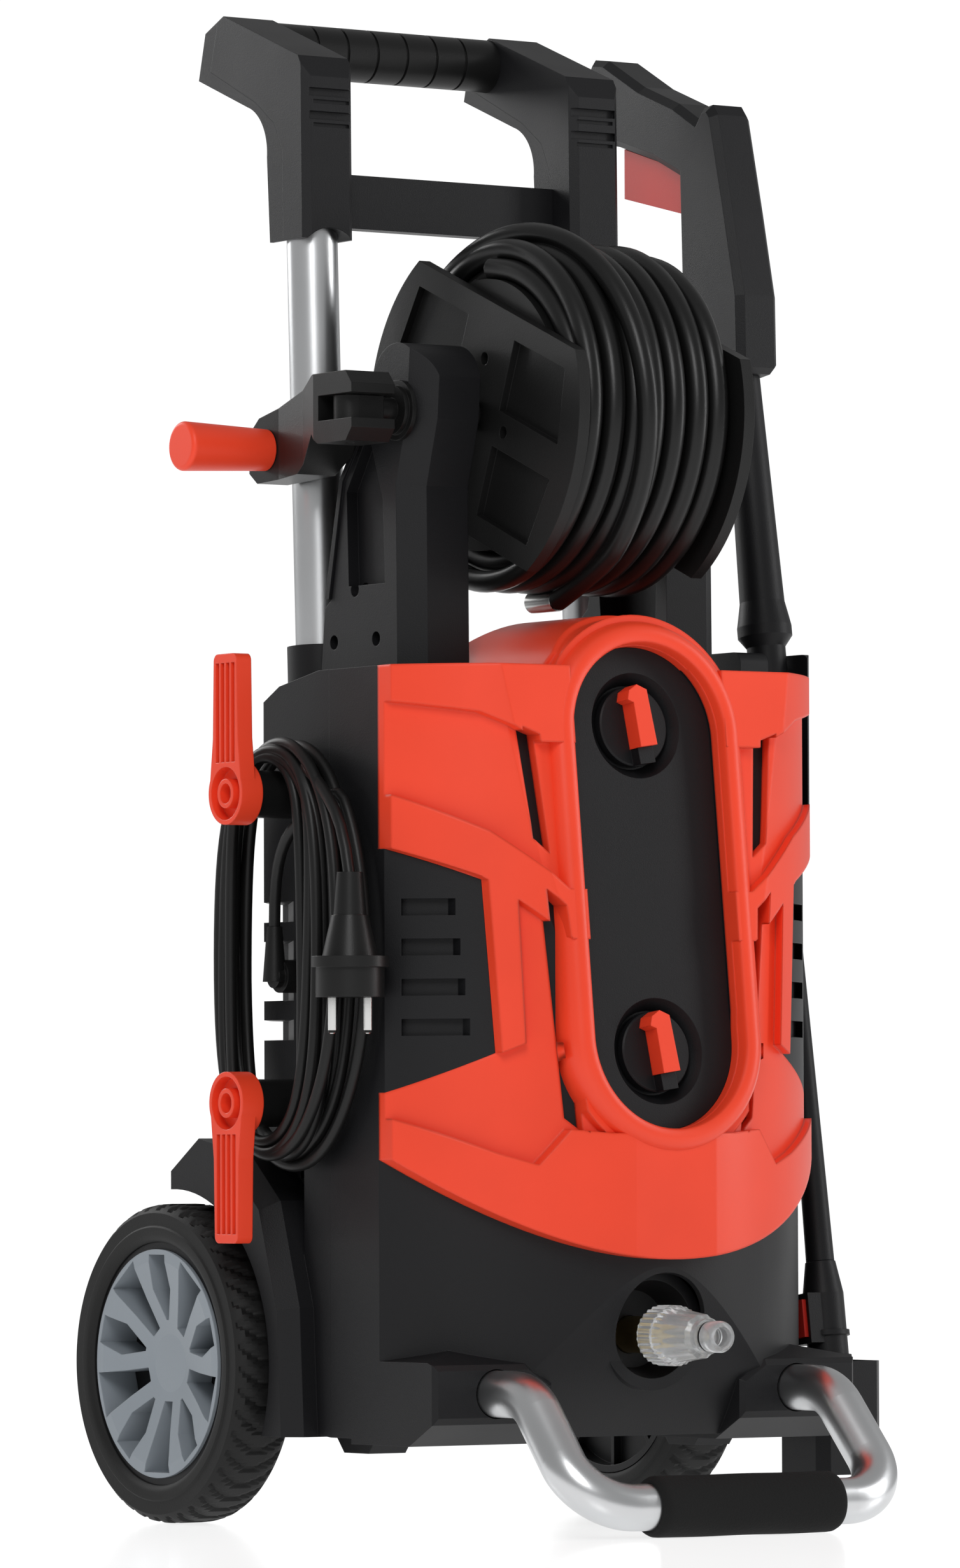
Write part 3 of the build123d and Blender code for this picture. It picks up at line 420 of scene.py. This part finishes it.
WHEEL_RADIUS = 88.0
RIM_RADIUS = 67.0
WHEEL_IN = 131.0
WHEEL_OUT = 171.0
TREAD_LUGS = 44


def tread_dent(angle, station, radius):
    """Slanted grooves over the tread and notches in both shoulders."""
    middle = (WHEEL_IN + WHEEL_OUT) / 2
    offset = abs(abs(station) - middle)
    if radius < WHEEL_RADIUS - 3:
        return 0
    phase = (angle * TREAD_LUGS / (2 * math.pi) + offset / 16) % 1
    depth = 1.6 if offset > 3 else 0.9
    return depth if phase < 0.3 else 0


def make_tyre(side, name):
    """Solid rubber tyre with a stepped sidewall band and a grooved tread."""
    half = [
        (3, RIM_RADIUS), (1, RIM_RADIUS + 1.5), (0, RIM_RADIUS + 4), (0, RIM_RADIUS + 8),
        (0.8, RIM_RADIUS + 9), (0.8, WHEEL_RADIUS - 5), (2, WHEEL_RADIUS - 3.6),
        (3.4, WHEEL_RADIUS - 2.2), (5.6, WHEEL_RADIUS - 0.9), (9, WHEEL_RADIUS - 0.2),
        (13, WHEEL_RADIUS), (16.5, WHEEL_RADIUS),
    ]
    profile = [(WHEEL_IN + inset, radius) for inset, radius in half]
    profile += [(WHEEL_OUT - inset, radius) for inset, radius in reversed(half)]
    tyre = turned(name + "_tread", [(side * x, radius) for x, radius in profile], (0, 0, AXLE_Z), "X",
                  TREAD_LUGS * 10, TYRE, tread_dent)
    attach(tyre, name)
    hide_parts(name.replace("wheel", "tyre"))


INLET_Z = 105.0
INLET_BACK = -240.0


def make_inlet():
    """Clear connector: knurled nut, ribbed cone, collar, groove and nozzle tip."""
    outer = [(0, 10.3), (0, 14), (-3, 16.4), (-19, 16.4), (-22, 14.5), (-24, 14.2), (-41, 12.1), (-43, 9.5),
             (-47, 9.5), (-47.4, 7.4), (-49.6, 7.4), (-50, 8.5), (-58.5, 8.5), (-60, 7.6)]
    inner = [(-60, 5.5), (-24, 5.5), (-10, 8), (-10, 10.3)]

    def knurl(angle, station, radius):
        if -20 < station < -1 and radius > 16:
            return 0.9 * (0.5 + 0.5 * math.cos(28 * angle))
        if -42 < station < -23 and radius > 12:
            return 0.7 * (0.5 + 0.5 * math.cos(12 * angle))
        return 0

    connector = turned("inlet_coupling", outer + inner, (0, INLET_BACK, INLET_Z), "Y", 224, CLEAR, knurl)
    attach(connector, "housing")
    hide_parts("inlet_connector")
    seal = turned("inlet_seal", [(-48.9, 7.6), (-48.1, 7.6), (-48.1, 8.3), (-48.9, 8.3)],
                  (0, INLET_BACK, INLET_Z), "Y", 48, CORD)
    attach(seal, "housing")


LEAN = math.radians(6.5)
PANEL_CENTRE = Vector((0, -226.5, 346))
PANEL_UP = Vector((0, math.sin(LEAN), math.cos(LEAN)))
PANEL_OUT = Vector((0, -math.cos(LEAN), math.sin(LEAN)))
PANEL_STRAIGHT = 83.0
PANEL_RADIUS = 49.0
RIM_PROFILE = [
    (0.4, -3), (0.4, 16.6), (1.2, 18.4), (3, 19.4), (6, 19.5),
    (9, 18.8), (11.5, 16.5), (13.2, 12.5), (14, 8), (14, -3),
]


def make_panel_rim():
    """Rounded raised rim round the control panel, high enough to cover the ribs' inner ends."""
    vertices = []
    count = 96
    for step in range(count):
        angle = 2 * math.pi * (step + 0.5) / count
        side, rise = math.cos(angle), math.sin(angle)
        end = PANEL_STRAIGHT if rise > 0 else -PANEL_STRAIGHT
        for spread, height in RIM_PROFILE:
            reach = PANEL_RADIUS + spread
            place = PANEL_CENTRE + PANEL_UP * (end + reach * rise) + PANEL_OUT * height
            vertices.append(at(reach * side, place.y, place.z))
    rim = smooth_piece("panel_rim", vertices, ring_faces(count, len(RIM_PROFILE)), FASCIA)
    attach(rim, "housing")


PLUG_X = -163.0
PLUG_Y = -187.0
PIN_OFFSET = 9.5
PIN_TURN = math.radians(34.0)


def make_plug_pins():
    """Nickel skin of the plug's two pins, with rounded tips."""
    profile = [(267.4, 0.1), (267.5, 1.2), (268.4, 2.1), (269.6, 2.46), (286.9, 2.46), (286.9, 0.1)]
    for name, side in (("left_plug_pin", -1), ("right_plug_pin", 1)):
        x = PLUG_X + side * PIN_OFFSET * math.cos(PIN_TURN)
        y = PLUG_Y - side * PIN_OFFSET * math.sin(PIN_TURN)
        pin = turned(name, profile, (x, y, 0), "Z", 32, STEEL)
        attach(pin, "housing")


make_camera()
make_stage()
finish_cad_nodes()
make_hose()
make_power_cord()
make_foam()
make_tyre(-1, "left_wheel")
make_tyre(1, "right_wheel")
make_inlet()
make_plug_pins()
make_panel_rim()
